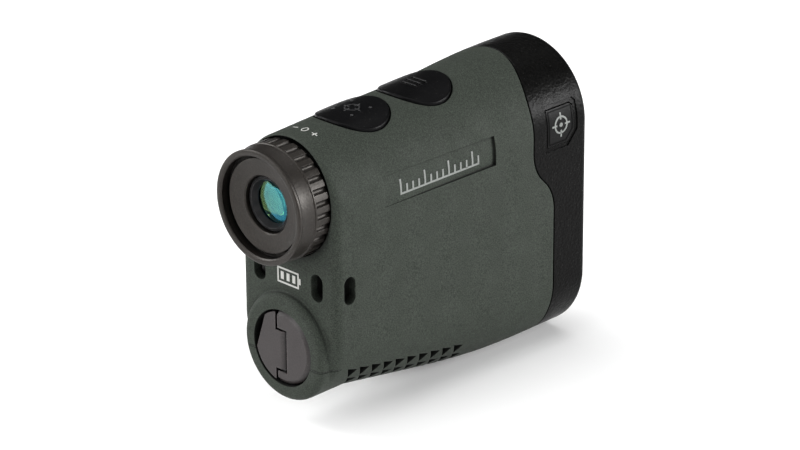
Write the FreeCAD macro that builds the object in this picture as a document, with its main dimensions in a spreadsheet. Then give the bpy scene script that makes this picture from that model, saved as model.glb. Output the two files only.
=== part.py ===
"""Compact laser rangefinder, in millimetres.

+Z is up, +Y is the line of sight (eyepiece at the rear, lenses at the front) and +X is the
user's right. The origin is the middle of the underside of the bounding box.
"""
import FreeCAD
import Part
import Sketcher

import math
import os
import re

ALONG_Y = FreeCAD.Rotation(FreeCAD.Vector(1, 0, 0), -90)
ALONG_X = FreeCAD.Rotation(FreeCAD.Vector(0, 1, 0), 90)
FACING_Y = FreeCAD.Rotation(FreeCAD.Vector(1, 0, 0), 90)
FACING_X = FreeCAD.Rotation(FreeCAD.Vector(1, 1, 1), 120)

# Driving dimensions: alias, value, what it measures.
SIZES = [
    # Outer hull: a stadium section at each station along Y.
    ("rear_y", -36.65, "rear face"),
    ("front_y", 45.75, "front rim of the bezel"),
    ("rear_half", 15.7, "half width at the rear face"),
    ("front_half", 17.8, "half width at the front rim"),
    ("heel_y", -24, "station over the battery boss"),
    ("grip_y", -10, "station over the grip"),
    ("waist_y", 12, "station where the underside levels out"),
    ("brow_y", 24, "station on the rise behind the bezel"),
    ("bezel_y", 34, "station where the bezel's top is level"),
    ("rear_top", 71.0, "top of the hull at the rear"),
    ("heel_top", 71.5, "top over the battery boss"),
    ("grip_top", 72.0, "top over the grip"),
    ("waist_top", 72.7, "top at the waist"),
    ("brow_top", 73.7, "top at the brow"),
    ("bezel_top", 74.15, "top at the bezel"),
    ("front_top", 74.2, "top at the front rim"),
    ("rear_low", 8.5, "underside at the rear"),
    ("heel_low", 6.4, "underside at the battery boss"),
    ("grip_low", 4.1, "underside at the grip"),
    ("waist_low", 0.9, "underside at the waist"),
    ("brow_low", 0.1, "underside at the brow"),
    ("front_low", 0, "underside of the bezel"),
    ("rear_round", 2.5, "rounding of the rear edge"),
    ("front_round", 1.5, "rounding of the front rim"),
    ("armour_wall", 2.0, "thickness of the rubber armour"),
    ("chassis_wall", 1.55, "thickness of the inner chassis"),
    ("skin_gap", 0.05, "gap between armour and chassis"),
    ("nose_depth", 4.2, "how far the chassis stops behind the front rim"),
    # Seam between armour and bezel, seen from the side.
    ("seam_top_y", 31.7, "seam on top of the roof"),
    ("seam_upper_y", 27.4, "seam on the upper side"),
    ("seam_lower_y", 34.5, "seam on the lower side"),
    ("seam_under_y", 36.5, "seam on the underside"),
    ("seam_shoulder_z", 63, "where the seam starts to run forward to the top"),
    ("seam_step_top_z", 53, "upper end of the S step"),
    ("seam_step_low_z", 37, "lower end of the S step"),
    ("seam_heel_z", 12, "where the seam starts to run forward to the underside"),
    ("seam_gap", 0.4, "open groove between armour and bezel"),
    # Eyepiece.
    ("axis_height", 56.5, "height of the optical axis"),
    ("rim_y", -45.75, "rear rim of the eyecup"),
    ("cup_half", 13.7, "outer radius of the eyecup"),
    ("lip_half", 12.1, "inner radius of the eyecup's lip"),
    ("floor_half", 11.35, "outer radius of the eyecup's floor"),
    ("nose_hole", 6.85, "hole in the eyecup's floor"),
    ("ring_half", 13.9, "outer radius of the diopter ring"),
    ("ring_y", -41.0, "rear edge of the diopter ring"),
    ("ring_front_y", -36.1, "front edge of the diopter ring"),
    ("rib_count", 30, "grip notches round the diopter ring"),
    ("rib_cut", 0.7, "radius of one grip notch"),
    ("eye_opening", 14.2, "opening in the armour round the diopter ring"),
    ("cell_half", 9.15, "outer radius of the sliding ocular cell"),
    ("cell_fit", 0.05, "running clearance round the ocular cell"),
    ("cell_nose", 6.5, "outer radius of the ocular cell's nose"),
    ("tube_half", 10.6, "outer radius of the fixed eyepiece tube"),
    ("eye_lens", 5.9, "radius of the eye lens"),
    ("nose_y", -42.2, "rear end of the ocular cell's nose"),
    ("eye_lens_y", -41.3, "rear face of the eye lens, at its middle"),
    ("eye_ball", 16, "radius of curvature of the eye lens's rear face"),
    ("eye_stop", 5.0, "clear radius of the retaining ring"),
    # Battery compartment.
    ("cap_height", 19.5, "height of the battery axis"),
    ("boss_half", 13.1, "outer radius of the battery boss"),
    ("boss_y", -38.95, "rear face of the battery boss"),
    ("boss_end_y", -14, "where the boss dies into the hull"),
    ("boss_round", 1.9, "rounding of the boss's edge"),
    ("boss_blend", 0.5, "fillet where the boss leaves the rear face"),
    ("cap_opening", 9.43, "opening round the battery cap"),
    ("cap_half", 9.03, "radius of the battery cap"),
    ("cap_y", -38.85, "face of the battery cap"),
    ("cap_depth", 4.55, "thickness of the cap's head"),
    ("lever_gap", 0.6, "gap round the lever"),
    ("lever_thick", 2.0, "thickness of the lever"),
    ("lever_relief", 0.55, "undercut of the lever's hinge edge, beyond the knuckle's radius"),
    ("lever_x", -0.75, "hinge axis of the lever, from the cap's centre"),
    ("knuckle_half", 1.5, "radius of the lever's knuckle"),
    ("knuckle_top", 4.05, "top of the knuckle above the cap's centre"),
    ("knuckle_low", -5.6, "bottom of the knuckle below the cap's centre"),
    ("lever_flat", 7.5, "distance of the lever's trimmed finger edge from the cap's centre"),
    ("finger_turn", 18, "how far the finger edge is turned up from the horizontal, in degrees"),
    ("pin_half", 0.5, "radius of the lever's hinge pin"),
    ("pin_fit", 0.05, "running clearance round the pin"),
    ("battery_half", 7.8, "radius of a CR2 cell"),
    ("battery_y", -31.3, "rear end of the cell"),
    ("battery_end", -4.3, "front end of the cell, 27 mm on"),
    ("battery_contact_y", 0, "contact plate at the front of the battery tube"),
    ("leaf_thick", 0.3, "thickness of the spring's strip"),
    # Buttons.
    ("button_half", 8.6, "radius of a button, seen from above"),
    ("button_gap", 0.35, "gap round a button"),
    ("button_proud", 0.5, "how far a button stands above the roof"),
    ("button_under", 1.0, "how far a button's skirt reaches below the roof"),
    ("button_round", 0.45, "rounding of a button's upper edge"),
    ("measure_y", -15.5, "centre of the measure button"),
    ("menu_y", 4.9, "centre of the menu button"),
    ("stem_half", 2.4, "radius of a button's stem"),
    ("stem_low", 66.3, "foot of a button's stem"),
    ("bump_step", 3, "half the spacing of the tactile bumps"),
    ("bump_half", 0.6, "radius of a tactile bump"),
    # Lanyard slots.
    ("slot_x", 9.4, "centre of a rear slot from the middle"),
    ("slot_wide", 3.8, "width of a rear slot"),
    ("slot_side_y", -32.45, "centre of a side slot"),
    ("slot_side_wide", 3.5, "width of a side slot"),
    ("slot_high", 7.2, "height of a slot"),
    ("slot_z", 36.7, "height of the slots' centres"),
    # Name plate recess and badge.
    ("plate_rear_y", -21.2, "rear end of the plate recess"),
    ("plate_front_y", 14.7, "front end of the plate recess"),
    ("plate_low", 53.85, "bottom of the plate recess"),
    ("plate_top", 61.0, "top of the plate recess"),
    ("plate_depth", 0.7, "depth of the plate recess at its front end"),
    ("badge_rear_y", 31.2, "rear edge of the badge recess"),
    ("badge_front_y", 42.3, "front edge of the badge recess"),
    ("badge_low", 51.9, "bottom of the badge recess"),
    ("badge_top", 63.3, "top of the badge recess"),
    ("badge_rim", 1.15, "margin between badge and recess"),
    ("badge_step", 0.3, "depth of the recess's shallow border"),
    ("badge_depth", 0.8, "depth of the pocket that holds the badge"),
    ("badge_groove", 0.18, "groove round the badge"),
    ("screw_rear_y", 33.8, "rear screw under a badge"),
    ("screw_front_y", 39.4, "front screw under a badge"),
    ("screw_z", 54.6, "height of the screws"),
    ("screw_tip", 14.1, "point of a screw, from the middle plane"),
    ("screw_half", 0.6, "radius of a screw's shank"),
    ("screw_head", 1.3, "radius of a screw's head"),
    ("screw_fit", 0.03, "clearance round a screw"),
    # Underside grip.
    ("notch_count", 10, "grip notches in one row"),
    ("notch_step", 3.84, "spacing of the notches along Y"),
    ("notch_start_y", -30.3, "first notch"),
    ("notch_half", 1.85, "radius of one notch's triangle"),
    ("notch_depth", 1.4, "depth of a notch"),
    ("notch_angle", 56.3, "uppermost row at the rear, in degrees from straight down"),
    ("notch_fan", -0.15, "how much higher each notch along the row stands, in degrees"),
    ("notch_row_angle", 14.5, "angle between two rows"),
    # Front optics.
    ("objective_half", 11.2, "radius of the objective lens"),
    ("objective_stop", 10.5, "clear radius of the objective"),
    ("objective_tube", 13.0, "outer radius of the objective cell"),
    ("emitter_height", 28, "height of the laser's axis"),
    ("emitter_half", 8.1, "radius of the emitter lens"),
    ("emitter_stop", 7.4, "clear radius of the emitter lens"),
    ("emitter_tube", 9.5, "outer radius of the emitter cell"),
    ("face_wall", 1.5, "thickness of the bezel's front wall"),
    ("face_recess", 1.3, "depth of the front face behind the rim"),
    ("face_inset", 2.4, "width of the rim round the front face"),
    # Electronics.
    ("board_thick", 0.8, "thickness of a circuit board"),
    ("button_board_z", 64.0, "underside of the button board"),
]
ALIASES = {alias for alias, value, meaning in SIZES}

doc = FreeCAD.newDocument("LaserRangefinder")
sheet = doc.addObject("Spreadsheet::Sheet", "Sizes")
for row, (alias, value, meaning) in enumerate(SIZES, start=1):
    sheet.set("A%d" % row, meaning)
    sheet.set("B%d" % row, str(value))
    sheet.setAlias("B%d" % row, alias)
doc.recompute()


def linked(expression):
    """The expression with every alias pointed at the sheet."""
    return re.sub(r"[a-z][a-z_]*", lambda word: "Sizes." + word.group() if word.group() in ALIASES
                  else word.group(), str(expression))


def size(expression):
    """The expression's value now."""
    return float(sheet.evalExpression(linked(expression)))


def bind(thing, **properties):
    """Bind properties to expressions; x, y and z stand for the placement's base."""
    for name, expression in properties.items():
        path = "Placement.Base." + name if name in ("x", "y", "z") else name
        thing.setExpression("." + path if path.startswith("Placement") else path, linked(expression))
    return thing


def turn(thing, rotation):
    thing.Placement = FreeCAD.Placement(FreeCAD.Vector(), rotation)
    return thing


# ---------------------------------------------------------------- sketches

def constrain(sketch, kind, geometry, point, expression):
    """Fix one coordinate or radius of a sketch to an expression."""
    place = (geometry,) if kind == "Radius" else (geometry, point)
    index = sketch.addConstraint(Sketcher.Constraint(kind, *place, size(expression)))
    sketch.setExpression("Constraints[%d]" % index, linked(expression))


def arc_through(start, end, radius, side):
    """Arc from start to end that bulges to the left (side 1) or right (side -1)."""
    chord = end - start
    half = chord.Length / 2
    left = FreeCAD.Vector(-chord.y, chord.x, 0).normalize()
    rise = radius - math.sqrt(max(radius ** 2 - half ** 2, 0))
    return Part.Arc(start, (start + end) / 2 + left * side * rise, end)


def draw(sketch, corners):
    """Closed outline. A corner is (x, y), or (x, y, radius, side) if an arc leaves it."""
    points = [FreeCAD.Vector(size(corner[0]), size(corner[1]), 0) for corner in corners]
    starts, ends = [], []
    for index, corner in enumerate(corners):
        start, end = points[index], points[(index + 1) % len(points)]
        if len(corner) == 2:
            geometry = sketch.addGeometry(Part.LineSegment(start, end))
            forward = True
        else:
            geometry = sketch.addGeometry(arc_through(start, end, size(corner[2]), corner[3]))
            forward = (sketch.getPoint(geometry, 1) - start).Length < 1e-6
        starts.append((geometry, 1 if forward else 2))
        ends.append((geometry, 2 if forward else 1))
    for index, corner in enumerate(corners):
        following = starts[(index + 1) % len(corners)]
        sketch.addConstraint(Sketcher.Constraint("Coincident", *ends[index], *following))
        constrain(sketch, "DistanceX", *starts[index], corner[0])
        constrain(sketch, "DistanceY", *starts[index], corner[1])
        if len(corner) > 2:
            constrain(sketch, "Radius", starts[index][0], 0, corner[2])
    return sketch


def free_sketch(name, rotation, corners):
    sketch = doc.addObject("Sketcher::SketchObject", name)
    turn(sketch, rotation)
    return draw(sketch, corners)


def body_sketch(body, name, role, corners):
    sketch = body.newObject("Sketcher::SketchObject", name)
    plane = [item for item in body.Origin.OriginFeatures if item.Role == role][0]
    sketch.AttachmentSupport = [(plane, "")]
    sketch.MapMode = "FlatFace"
    return draw(sketch, corners)


# ---------------------------------------------------------------- solids

def turned(name, height, corners):
    """Turned piece about an axis along Y at the given height; corners are (radius, y)."""
    body = doc.addObject("PartDesign::Body", name)
    sketch = body_sketch(body, name + "_profile", "XY_Plane", corners)
    revolution = body.newObject("PartDesign::Revolution", name + "_turned")
    revolution.Profile = sketch
    revolution.ReferenceAxis = (sketch, ["V_Axis"])
    revolution.Angle = 360
    sketch.Visibility = False
    return bind(body, z=height)


def tube(name, height, outer, inner, start, end):
    return turned(name, height, [(inner, start), (outer, start), (outer, end), (inner, end)])


def disc(name, height, radius, start, end):
    """Solid cylinder along Y."""
    cylinder = turn(doc.addObject("Part::Cylinder", name), ALONG_Y)
    return bind(cylinder, Radius=radius, Height="%s - (%s)" % (end, start), y=start, z=height)


def post(name, radius, x, y, low, high):
    """Solid cylinder along Z."""
    cylinder = doc.addObject("Part::Cylinder", name)
    return bind(cylinder, Radius=radius, Height="%s - (%s)" % (high, low), x=x, y=y, z=low)


def block(name, left, right, rear, front, low, high):
    box = doc.addObject("Part::Box", name)
    bind(box, Length="%s - (%s)" % (right, left), Width="%s - (%s)" % (front, rear))
    return bind(box, Height="%s - (%s)" % (high, low), x=left, y=rear, z=low)


def extruded(name, rotation, corners, start, end):
    """Outline pushed along its own normal from start to end."""
    sketch = free_sketch(name + "_outline", rotation, corners)
    solid = doc.addObject("Part::Extrusion", name)
    solid.Base = sketch
    solid.DirMode = "Custom"
    solid.Dir = rotation.multVec(FreeCAD.Vector(0, 0, 1))
    solid.Solid = True
    bind(solid, LengthFwd=end, LengthRev="-(%s)" % start)
    return solid


def joined(name, kind, pieces):
    """MultiFuse or MultiCommon of several solids."""
    result = doc.addObject("Part::" + kind, name)
    result.Shapes = pieces
    return result


def cut(name, base, tools):
    result = doc.addObject("Part::Cut", name)
    result.Base = base
    result.Tool = tools[0] if len(tools) == 1 else joined(name + "_tools", "MultiFuse", tools)
    return result


def rounded(name, base, choose, radius):
    """Fillet on the edges that choose() accepts."""
    doc.recompute()
    edges = [index for index, edge in enumerate(base.Shape.Edges, start=1) if choose(edge)]
    result = doc.addObject("Part::Fillet", name)
    result.Base = base
    result.Edges = [(index, size(radius), size(radius)) for index in edges]
    return result


def lens(name, height, radius, rear, front, rear_ball, front_ball):
    """Biconvex lens: a disc between two large balls."""
    parts = [disc(name + "_blank", height, radius, rear, front)]
    for end, ball, centre in (("rear", rear_ball, "%s + %s" % (rear, rear_ball)),
                              ("front", front_ball, "%s - %s" % (front, front_ball))):
        sphere = doc.addObject("Part::Sphere", name + "_" + end + "_ball")
        parts.append(bind(sphere, Radius=ball, y=centre, z=height))
    return joined(name, "MultiCommon", parts)


# ---------------------------------------------------------------- hull sections

def half_width(y):
    return "(rear_half + (front_half - rear_half) * (%s - rear_y) / (front_y - rear_y))" % y


def section(name, y, top, low, inset):
    """Stadium section of the hull at y, smaller by inset all round."""
    half = "(%s - (%s))" % (half_width(y), inset)
    upper = "%s - %s" % (top, half_width(y))
    lower = "%s + %s" % (low, half_width(y))
    sketch = turn(doc.addObject("Sketcher::SketchObject", name), FACING_Y)
    bind(sketch, y=y)
    right, high, deep = size(half), size(upper), size(lower)
    point = FreeCAD.Vector
    sketch.addGeometry(Part.LineSegment(point(right, deep, 0), point(right, high, 0)))
    sketch.addGeometry(Part.Arc(point(right, high, 0), point(0, high + right, 0), point(-right, high, 0)))
    sketch.addGeometry(Part.LineSegment(point(-right, high, 0), point(-right, deep, 0)))
    sketch.addGeometry(Part.Arc(point(-right, deep, 0), point(0, deep - right, 0), point(right, deep, 0)))
    for index in range(4):
        sketch.addConstraint(Sketcher.Constraint("Coincident", index, 2, (index + 1) % 4, 1))
    for index, across, up in ((0, half, lower), (1, half, upper), (2, "-" + half, upper),
                              (3, "-" + half, lower)):
        constrain(sketch, "DistanceX", index, 1, across)
        constrain(sketch, "DistanceY", index, 1, up)
    constrain(sketch, "DistanceY", 1, 3, upper)
    constrain(sketch, "DistanceY", 3, 3, lower)
    return sketch


def hull(name, inset, rear="rear_y", front="front_y"):
    """The hull shrunk by inset, between two planes across Y."""
    stations = [(rear, "rear_top", "rear_low"), ("heel_y", "heel_top", "heel_low"),
                ("grip_y", "grip_top", "grip_low"),
                ("waist_y", "waist_top", "waist_low"), ("brow_y", "brow_top", "brow_low"),
                ("bezel_y", "bezel_top", "front_low"), (front, "front_top", "front_low")]
    loft = doc.addObject("Part::Loft", name)
    loft.Sections = [section("%s_at_%d" % (name, index), y, top, low, inset)
                     for index, (y, top, low) in enumerate(stations)]
    loft.Solid = True
    return loft


def on_plane(y):
    """Chooses edges that lie wholly in the plane across Y."""
    return lambda edge: all(abs(edge.valueAt(u).y - size(y)) < 1e-3 for u in
                            (edge.FirstParameter, (edge.FirstParameter + edge.LastParameter) / 2))


# ---------------------------------------------------------------- shared cutting shapes

def mirrored(name, source):
    """The same solid on the other side of the middle plane."""
    copy = doc.addObject("Part::Mirroring", name)
    copy.Source = source
    copy.Normal = (1, 0, 0)
    return copy


def seam_front(name, shift):
    """Everything in front of the S-shaped seam, moved along Y by shift."""
    top, upper = "seam_top_y + " + shift, "seam_upper_y + " + shift
    lower, under = "seam_lower_y + " + shift, "seam_under_y + " + shift
    middle = "(seam_upper_y + seam_lower_y) / 2 + " + shift
    middle_z = "(seam_step_top_z + seam_step_low_z) / 2"
    rise, run = "(seam_lower_y - seam_upper_y)", "(seam_step_top_z - seam_step_low_z)"
    step_round = "(%s ^ 2 + %s ^ 2) / (4 * %s)" % (rise, run, rise)
    shoulder_run = "(front_top - seam_shoulder_z)"
    shoulder_rise = "(seam_top_y - seam_upper_y)"
    shoulder_round = "(%s ^ 2 + %s ^ 2) / (2 * %s)" % (shoulder_run, shoulder_rise, shoulder_rise)
    heel_rise = "(seam_under_y - seam_lower_y)"
    heel_round = "(seam_heel_z ^ 2 + %s ^ 2) / (2 * %s)" % (heel_rise, heel_rise)
    corners = [("front_y + 9", "-6"), ("front_y + 9", "front_top + 6"), (top, "front_top + 6"),
               (top, "front_top", shoulder_round, -1), (upper, "seam_shoulder_z"),
               (upper, "seam_step_top_z", step_round, -1), (middle, middle_z, step_round, 1),
               (lower, "seam_step_low_z"), (lower, "seam_heel_z", heel_round, -1), (under, "0"),
               (under, "-6")]
    return extruded(name, FACING_X, corners, "-24", "24")


def obround(name, rotation, x, y, wide, high, start, end):
    """Slot with round ends, upright, pushed from start to end."""
    corners = [(x + " + " + wide + " / 2", y + " + (" + wide + " - " + high + ") / 2"),
               (x + " + " + wide + " / 2", y + " + (" + high + " - " + wide + ") / 2",
                wide + " / 2 + 0.01", -1),
               (x + " - " + wide + " / 2", y + " + (" + high + " - " + wide + ") / 2"),
               (x + " - " + wide + " / 2", y + " + (" + wide + " - " + high + ") / 2",
                wide + " / 2 + 0.01", -1)]
    return extruded(name, rotation, corners, start, end)


def lanyard_passages(name):
    """The slot in the rear face and the slot in the side, which meet inside, on both sides."""
    rear = obround(name + "_rear", FACING_Y, "slot_x", "slot_z", "slot_wide", "slot_high",
                   "-(slot_side_y + slot_side_wide / 2)", "44")
    side = obround(name + "_side", FACING_X, "slot_side_y", "slot_z", "slot_side_wide", "slot_high",
                   "slot_x - slot_wide / 2", "24")
    right = joined(name + "_right", "MultiFuse", [rear, side])
    return [right, mirrored(name + "_left", right)]


def side_outline(name, corners, start, end):
    """An outline in the side view, pushed outward along X from start to end."""
    return extruded(name, FACING_X, corners, start, end)


def badge_corners(margin):
    """Badge outline in the side view: a rectangle with its lower front corner cut off."""
    rear, front = "badge_rear_y + " + margin, "badge_front_y - " + margin
    low, top = "badge_low + " + margin, "badge_top - " + margin
    return [(rear, low), ("badge_front_y - 3.2", low), (front, "badge_low + 3.6"),
            (front, top + " - 0.8"), ("badge_front_y - 0.8 - " + margin, top), (rear, top)]


def grip_notches(name):
    """Staggered rows of triangular notches along each side of the underside, the lowest one notch longer."""
    tools = []
    along = FreeCAD.Vector(0, 1, 0)
    for row in range(3):
        for index in range(int(size("notch_count")) + row // 2):
            angle = math.radians(size("notch_angle + notch_fan * %d - notch_row_angle * %d" % (index, row)))
            out = FreeCAD.Vector(math.sin(angle), 0, -math.cos(angle))
            up = out.cross(along)
            y = size("notch_start_y") + size("notch_step") * (index + 0.5 * (row % 2))
            share = (y - size("rear_y")) / (size("brow_y") - size("rear_y"))
            low = size("rear_low") * (1 - share) ** 1.25
            half = size(half_width("(%f)" % y))
            foot = FreeCAD.Vector(0, y, low + half) + out * (half - size("notch_depth"))
            reach = size("notch_half")
            rim = [foot + up * reach - along * reach * 0.75, foot + along * reach + up * reach * 0.5,
                   foot - up * reach + along * reach * 0.2]
            face = Part.Face(Part.makePolygon(rim + rim[:1]))
            tools.append(face.extrude(out * 3))
    right = doc.addObject("Part::Feature", name + "_right")
    right.Shape = Part.makeCompound(tools)
    return [right, mirrored(name + "_left", right)]


# ---------------------------------------------------------------- armour, chassis and bezel

def rounded_hull(name):
    shell = rounded(name + "_rear_rounded", hull(name + "_loft", "0"), on_plane("rear_y"), "rear_round")
    return rounded(name + "_rounded", shell, on_plane("front_y"), "front_round")


def battery_boss(name):
    boss = disc(name + "_blank", "cap_height", "boss_half", "boss_y", "boss_end_y")
    return rounded(name, boss, on_plane("boss_y"), "boss_round")


def name_plate_recess(name):
    """Pocket for a name plate: flush at its rear end, deepest at its front end."""
    outline = side_outline(name + "_block", [("plate_rear_y", "plate_low"), ("plate_front_y", "plate_low"),
                                             ("plate_front_y", "plate_top"), ("plate_rear_y", "plate_top")],
                           "8", "24")
    floor = doc.addObject("Part::Loft", name + "_floor")
    floor.Sections = [section(name + "_floor_rear", "heel_y", "heel_top", "heel_low", "0.02"),
                      section(name + "_floor_front", "brow_y", "brow_top", "brow_low",
                              "plate_depth * (brow_y - heel_y) / (plate_front_y - heel_y)")]
    floor.Solid = True
    floor.Ruled = True
    right = cut(name, outline, [floor])
    return [right, mirrored(name + "_left", right)]


def boss_foot(edge):
    """True for the arc where the boss meets the flat of the rear face."""
    on_rear = on_plane("rear_y")(edge)
    return on_rear and hasattr(edge.Curve, "Radius") and abs(edge.Curve.Radius - size("boss_half")) < 1e-3


def armour():
    body = joined("armour_body", "MultiFuse", [rounded_hull("armour_hull"), battery_boss("armour_boss")])
    outside = rounded("armour_outside", body, boss_foot, "boss_blend")
    inside = hull("armour_inside", "armour_wall", "rear_y + armour_wall")
    tools = [inside,
             disc("armour_boss_inside", "cap_height", "boss_half - armour_wall", "boss_y + armour_wall",
                  "0"),
             disc("armour_cap_opening", "cap_height", "cap_opening", "boss_y - 2", "boss_y + 4"),
             disc("armour_eye_opening", "axis_height", "eye_opening", "rear_y - 6", "rear_y + 4"),
             post("armour_measure_opening", "button_half + button_gap", "0", "measure_y", "64", "80"),
             post("armour_menu_opening", "button_half + button_gap", "0", "menu_y", "64", "80"),
             seam_front("armour_seam", "-seam_gap / 2")]
    tools += lanyard_passages("armour_slot") + name_plate_recess("armour_plate")
    shell = cut("armour_shell", outside, tools)
    return cut("armour", shell, grip_notches("armour_notch"))


def chassis():
    inset = "armour_wall + skin_gap"
    outer = hull("chassis_loft", inset, "rear_y + armour_wall + skin_gap", "front_y - nose_depth")
    inner = hull("chassis_hollow", inset + " + chassis_wall", "rear_y + armour_wall + chassis_wall",
                 "front_y")
    boss = disc("chassis_boss", "cap_height", "boss_half - armour_wall - skin_gap",
                "boss_y + armour_wall + skin_gap", "1")
    pocket = block("chassis_pocket_right", "slot_x - slot_wide / 2 - 1.4", "slot_x + slot_wide / 2 + 1.5",
                   "rear_y + armour_wall + skin_gap", "slot_side_y + slot_side_wide / 2 + 1.4",
                   "slot_z - slot_high / 2 - 1.4", "slot_z + slot_high / 2 + 1.4")
    shell = cut("chassis_shell", outer, [inner])
    solid = joined("chassis_solid", "MultiFuse", [shell, boss, pocket,
                                                  mirrored("chassis_pocket_left", pocket)])
    tools = [disc("chassis_eye_bore", "axis_height", "tube_half", "rear_y", "rear_y + 8"),
             disc("chassis_battery_bore", "cap_height", "cap_opening", "boss_y", "battery_y - 1"),
             disc("chassis_tube_bore", "cap_height", "cap_opening + 0.02", "battery_y - 1.1", "2"),
             post("chassis_measure_bore", "stem_half + 0.5", "0", "measure_y", "60", "76"),
             post("chassis_menu_bore", "stem_half + 0.5", "0", "menu_y", "60", "76")]
    return cut("chassis", solid, tools + lanyard_passages("chassis_slot") + bezel_screws("chassis_screw",
                                                                                         "screw_fit"))


def badge_recess(name):
    """Shallow border with a deeper pocket inside it for the badge."""
    steps = []
    for place, margin, depth in (("border", "0", "badge_step"),
                                 ("pocket", "(badge_rim - badge_groove)", "badge_depth")):
        outline = side_outline("%s_%s_block" % (name, place), badge_corners(margin), "8", "24")
        floor = hull("%s_%s_floor" % (name, place), depth, "rear_y", "front_y")
        steps.append(cut("%s_%s" % (name, place), outline, [floor]))
    right = joined(name, "MultiFuse", steps)
    return [right, mirrored(name + "_left", right)]


def front_bezel():
    front = joined("bezel_outside", "MultiCommon", [rounded_hull("bezel_hull"),
                                                    seam_front("bezel_seam", "seam_gap / 2")])
    face_y = "front_y - face_recess"
    tools = [hull("bezel_hollow", "armour_wall", "rear_y", "front_y - face_recess - face_wall"),
             cut("bezel_face", hull("bezel_face_outline", "face_inset", "rear_y", "front_y + 3"),
                 [block("bezel_face_limit", "-30", "30", "rear_y - 9", face_y, "-9", "90")]),
             disc("bezel_objective_bore", "axis_height", "objective_half", "front_y - 9", "front_y + 9"),
             disc("bezel_emitter_bore", "emitter_height", "emitter_half", "front_y - 9", "front_y + 9")]
    screws = bezel_screws("bezel_screw", "screw_fit")
    return cut("front_bezel", front, tools + badge_recess("bezel_badge") + screws)


def bezel_screws(name, grow):
    """Countersunk screws under the badges that hold the bezel to the chassis, larger by grow."""
    right = []
    for place, y in (("rear", "screw_rear_y"), ("front", "screw_front_y")):
        top = "(" + half_width(y) + " - badge_depth - 0.05)"
        shank = turn(doc.addObject("Part::Cylinder", "%s_%s_shank" % (name, place)), ALONG_X)
        bind(shank, Radius="screw_half + " + grow, Height=top + " - screw_tip", x="screw_tip", y=y,
             z="screw_z")
        head = turn(doc.addObject("Part::Cone", "%s_%s_head" % (name, place)), ALONG_X)
        bind(head, Radius1="screw_half + " + grow, Radius2="screw_head + " + grow,
             Height="screw_head - screw_half", x=top + " - (screw_head - screw_half)", y=y, z="screw_z")
        right.append(joined("%s_%s" % (name, place), "MultiFuse", [shank, head]))
    return right + [mirrored("%s_left" % solid.Name, solid) for solid in right]


def slotted_screws():
    """The four screws, each with a driver slot across its head."""
    slot = block("screw_slot", "-30", "30", "screw_rear_y - 3", "screw_front_y + 3", "screw_z - 0.2",
                 "screw_z + 0.2")
    core_x = "(" + half_width("screw_rear_y") + " - badge_depth - 0.4)"
    core = block("screw_slot_core", "-" + core_x, core_x, "screw_rear_y - 4", "screw_front_y + 4",
                 "screw_z - 1",
                 "screw_z + 1")
    slots = cut("screw_slots", slot, [core])
    return group("bezel_screws", [cut(solid.Name + "_slotted", solid, [slots]) for solid in
                                  bezel_screws("screw", "0")])


def badge(name):
    """Badge plate that follows the bezel's curve, a little below flush."""
    outline = side_outline(name + "_block", badge_corners("badge_rim"), "8", "24")
    plate = joined(name + "_skin", "MultiCommon", [outline,
                                                   hull(name + "_top", "0.2", "rear_y", "front_y")])
    return cut(name, plate, [hull(name + "_back", "badge_depth - 0.01", "rear_y", "front_y")])


# ---------------------------------------------------------------- eyepiece

def eyecup():
    """Rubber cup: rounded lip, undercut groove, dished floor and a barrel that runs to the ring."""
    corners = [("lip_half", "rim_y + 0.45"), ("lip_half + 0.3", "rim_y + 0.1", "1.2", -1),
               ("cup_half - 0.15", "rim_y + 0.13"), ("cup_half", "rim_y + 0.35"),
               ("cup_half", "rim_y + 0.8"), ("cup_half - 0.25", "rim_y + 1.3", "20", 1),
               ("ring_half - 0.2", "ring_y + 0.1"), ("cell_half + 0.25", "ring_y + 0.1"),
               ("cell_half + 0.25", "rim_y + 4.25"), ("nose_hole", "rim_y + 4.25"),
               ("nose_hole", "rim_y + 2.9"), ("nose_hole + 0.3", "rim_y + 2.6", "12", 1),
               ("floor_half - 0.15", "rim_y + 1.9"), ("floor_half", "rim_y + 2.05"),
               ("floor_half", "rim_y + 3.1"), ("lip_half + 0.35", "rim_y + 3.1"),
               ("lip_half + 0.3", "rim_y + 1")]
    return turned("eyecup", "axis_height", corners)


def diopter_ring():
    """Knurled focusing ring: chamfered rear edge and round-bottomed notches all round."""
    corners = [("cell_half + 0.1", "ring_y + 0.1"), ("ring_half - 0.2", "ring_y + 0.1"),
               ("ring_half", "ring_y + 0.3"), ("ring_half", "ring_front_y - 0.3"),
               ("ring_half - 0.3", "ring_front_y"), ("tube_half + 0.4", "ring_front_y"),
               ("tube_half + 0.4", "ring_y + 1.4"), ("cell_half + 0.1", "ring_y + 1.4")]
    blank = turned("diopter_ring_blank", "axis_height", corners)
    notches = []
    for index in range(int(size("rib_count"))):
        angle = 2 * math.pi * index / size("rib_count")
        notch = Part.makeCylinder(size("rib_cut"), 6)
        place = FreeCAD.Vector(math.cos(angle), math.sin(angle), 0) * (size("ring_half") + 0.05)
        notch.Placement = FreeCAD.Placement(place, FreeCAD.Rotation())
        notches.append(notch)
    comb = doc.addObject("Part::Feature", "diopter_ring_notches")
    comb.Shape = Part.makeCompound(notches)
    turn(comb, ALONG_Y)
    bind(comb, y="ring_y + 0.6", z="axis_height")
    return cut("diopter_ring", blank, [comb])


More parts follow.
